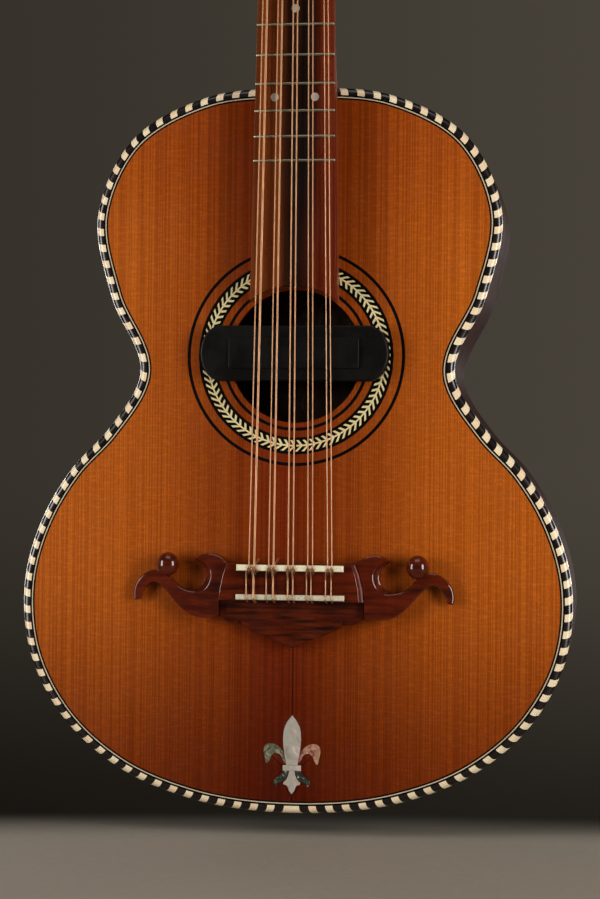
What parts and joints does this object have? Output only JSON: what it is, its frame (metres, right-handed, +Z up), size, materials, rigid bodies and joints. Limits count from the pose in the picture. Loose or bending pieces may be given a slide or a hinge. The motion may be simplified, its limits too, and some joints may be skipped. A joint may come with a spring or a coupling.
{
  "type": "bajo quinto guitar",
  "caption": "Small-bodied guitar strung in pairs, with a raised fingerboard, a scrolled tie bridge, a pickup bar across the soundhole and open worm tuners.",
  "frame": {"origin": "on the centre line where a wall hanger's yoke holds the neck, just under the head's shoulders, in the plane of the soundboard's face", "axes": "+Z up the neck towards the head, +X to the right of someone facing the soundboard, -Y out of the soundboard towards them"},
  "size_m": [0.373, 0.1119, 0.9433],
  "materials": {
    "top_cedar": "satin",
    "rosewood": "satin",
    "carved_rosewood": "gloss",
    "neck_cedar": "satin",
    "spruce": "matte",
    "rope_binding": "satin",
    "back_binding": "satin",
    "herringbone": "satin",
    "bone": "satin",
    "pearl": "gloss",
    "pickup_plastic": "matte",
    "bronze": "satin",
    "nickel": "satin",
    "ivoroid": "gloss"
  },
  "bodies": {
    "instrument": {"soundboard": "top_cedar", "rib_left": "rosewood", "rib_right": "rosewood", "back_plate": "rosewood", "fingerboard": "rosewood", "bridge": "carved_rosewood", "bridge_scroll_left": "carved_rosewood", "bridge_scroll_right": "carved_rosewood", "neck": "neck_cedar", "neck_block": "spruce", "tail_block": "spruce", "lining_top": "spruce", "lining_back": "spruce", "top_brace_upper": "spruce", "top_brace_middle": "spruce", "top_brace_lower": "spruce", "back_brace_upper": "spruce", "back_brace_lower": "spruce", "bridge_plate": "spruce", "binding_top": "rope_binding", "binding_back": "back_binding", "rosette": "herringbone", "nut": "bone", "saddle": "bone", "tie_bar": "bone", "fleur_inlay": "pearl", "pickup_housing": "pickup_plastic", "pickup_cover": "pickup_plastic", "string_1": "bronze", "string_2": "bronze", "string_3": "bronze", "string_4": "bronze", "string_5": "bronze", "string_6": "bronze", "string_7": "bronze", "string_8": "bronze", "string_9": "bronze", "string_10": "bronze", "tuner_plate_left": "nickel", "tuner_plate_right": "nickel"},
    "button_left_1": {"tuner_button_left_1": "ivoroid"},
    "post_left_1": {"tuner_post_left_1": "nickel"},
    "button_left_2": {"tuner_button_left_2": "ivoroid"},
    "post_left_2": {"tuner_post_left_2": "nickel"},
    "button_left_3": {"tuner_button_left_3": "ivoroid"},
    "post_left_3": {"tuner_post_left_3": "nickel"},
    "button_left_4": {"tuner_button_left_4": "ivoroid"},
    "post_left_4": {"tuner_post_left_4": "nickel"},
    "button_left_5": {"tuner_button_left_5": "ivoroid"},
    "post_left_5": {"tuner_post_left_5": "nickel"},
    "button_right_1": {"tuner_button_right_1": "ivoroid"},
    "post_right_1": {"tuner_post_right_1": "nickel"},
    "button_right_2": {"tuner_button_right_2": "ivoroid"},
    "post_right_2": {"tuner_post_right_2": "nickel"},
    "button_right_3": {"tuner_button_right_3": "ivoroid"},
    "post_right_3": {"tuner_post_right_3": "nickel"},
    "button_right_4": {"tuner_button_right_4": "ivoroid"},
    "post_right_4": {"tuner_post_right_4": "nickel"},
    "button_right_5": {"tuner_button_right_5": "ivoroid"},
    "post_right_5": {"tuner_post_right_5": "nickel"}
  },
  "joints": [
    {"name": "button_turn_left_1", "type": "hinge", "parent": "instrument", "child": "button_left_1", "pos_m": [-0.0245, 0.02026, 0.02695], "axis": [1, 0, 0], "continuous": true},
    {"name": "post_turn_left_1", "type": "hinge", "parent": "instrument", "child": "post_left_1", "pos_m": [-0.0245, -0.00245, 0.02193], "axis": [0, 0.9744, -0.225], "continuous": true},
    {"name": "button_turn_left_2", "type": "hinge", "parent": "instrument", "child": "button_left_2", "pos_m": [-0.0245, 0.02577, 0.05082], "axis": [1, 0, 0], "continuous": true},
    {"name": "post_turn_left_2", "type": "hinge", "parent": "instrument", "child": "post_left_2", "pos_m": [-0.0245, 0.00306, 0.0458], "axis": [0, 0.9744, -0.225], "continuous": true},
    {"name": "button_turn_left_3", "type": "hinge", "parent": "instrument", "child": "button_left_3", "pos_m": [-0.0245, 0.03128, 0.07469], "axis": [1, 0, 0], "continuous": true},
    {"name": "post_turn_left_3", "type": "hinge", "parent": "instrument", "child": "post_left_3", "pos_m": [-0.0245, 0.00857, 0.06968], "axis": [0, 0.9744, -0.225], "continuous": true},
    {"name": "button_turn_left_4", "type": "hinge", "parent": "instrument", "child": "button_left_4", "pos_m": [-0.0245, 0.03679, 0.09857], "axis": [1, 0, 0], "continuous": true},
    {"name": "post_turn_left_4", "type": "hinge", "parent": "instrument", "child": "post_left_4", "pos_m": [-0.0245, 0.01408, 0.09355], "axis": [0, 0.9744, -0.225], "continuous": true},
    {"name": "button_turn_left_5", "type": "hinge", "parent": "instrument", "child": "button_left_5", "pos_m": [-0.0245, 0.04231, 0.12244], "axis": [1, 0, 0], "continuous": true},
    {"name": "post_turn_left_5", "type": "hinge", "parent": "instrument", "child": "post_left_5", "pos_m": [-0.0245, 0.01959, 0.11742], "axis": [0, 0.9744, -0.225], "continuous": true},
    {"name": "button_turn_right_1", "type": "hinge", "parent": "instrument", "child": "button_right_1", "pos_m": [0.0245, 0.02026, 0.02695], "axis": [1, 0, 0], "continuous": true},
    {"name": "post_turn_right_1", "type": "hinge", "parent": "instrument", "child": "post_right_1", "pos_m": [0.0245, -0.00245, 0.02193], "axis": [0, 0.9744, -0.225], "continuous": true},
    {"name": "button_turn_right_2", "type": "hinge", "parent": "instrument", "child": "button_right_2", "pos_m": [0.0245, 0.02577, 0.05082], "axis": [1, 0, 0], "continuous": true},
    {"name": "post_turn_right_2", "type": "hinge", "parent": "instrument", "child": "post_right_2", "pos_m": [0.0245, 0.00306, 0.0458], "axis": [0, 0.9744, -0.225], "continuous": true},
    {"name": "button_turn_right_3", "type": "hinge", "parent": "instrument", "child": "button_right_3", "pos_m": [0.0245, 0.03128, 0.07469], "axis": [1, 0, 0], "continuous": true},
    {"name": "post_turn_right_3", "type": "hinge", "parent": "instrument", "child": "post_right_3", "pos_m": [0.0245, 0.00857, 0.06968], "axis": [0, 0.9744, -0.225], "continuous": true},
    {"name": "button_turn_right_4", "type": "hinge", "parent": "instrument", "child": "button_right_4", "pos_m": [0.0245, 0.03679, 0.09857], "axis": [1, 0, 0], "continuous": true},
    {"name": "post_turn_right_4", "type": "hinge", "parent": "instrument", "child": "post_right_4", "pos_m": [0.0245, 0.01408, 0.09355], "axis": [0, 0.9744, -0.225], "continuous": true},
    {"name": "button_turn_right_5", "type": "hinge", "parent": "instrument", "child": "button_right_5", "pos_m": [0.0245, 0.04231, 0.12244], "axis": [1, 0, 0], "continuous": true},
    {"name": "post_turn_right_5", "type": "hinge", "parent": "instrument", "child": "post_right_5", "pos_m": [0.0245, 0.01959, 0.11742], "axis": [0, 0.9744, -0.225], "continuous": true}
  ],
  "couplings": [
    {"joint": "post_turn_left_1", "follows": "button_turn_left_1", "ratio": -0.071429},
    {"joint": "post_turn_left_2", "follows": "button_turn_left_2", "ratio": -0.071429},
    {"joint": "post_turn_left_3", "follows": "button_turn_left_3", "ratio": -0.071429},
    {"joint": "post_turn_left_4", "follows": "button_turn_left_4", "ratio": -0.071429},
    {"joint": "post_turn_left_5", "follows": "button_turn_left_5", "ratio": -0.071429},
    {"joint": "post_turn_right_1", "follows": "button_turn_right_1", "ratio": -0.071429},
    {"joint": "post_turn_right_2", "follows": "button_turn_right_2", "ratio": -0.071429},
    {"joint": "post_turn_right_3", "follows": "button_turn_right_3", "ratio": -0.071429},
    {"joint": "post_turn_right_4", "follows": "button_turn_right_4", "ratio": -0.071429},
    {"joint": "post_turn_right_5", "follows": "button_turn_right_5", "ratio": -0.071429}
  ]
}
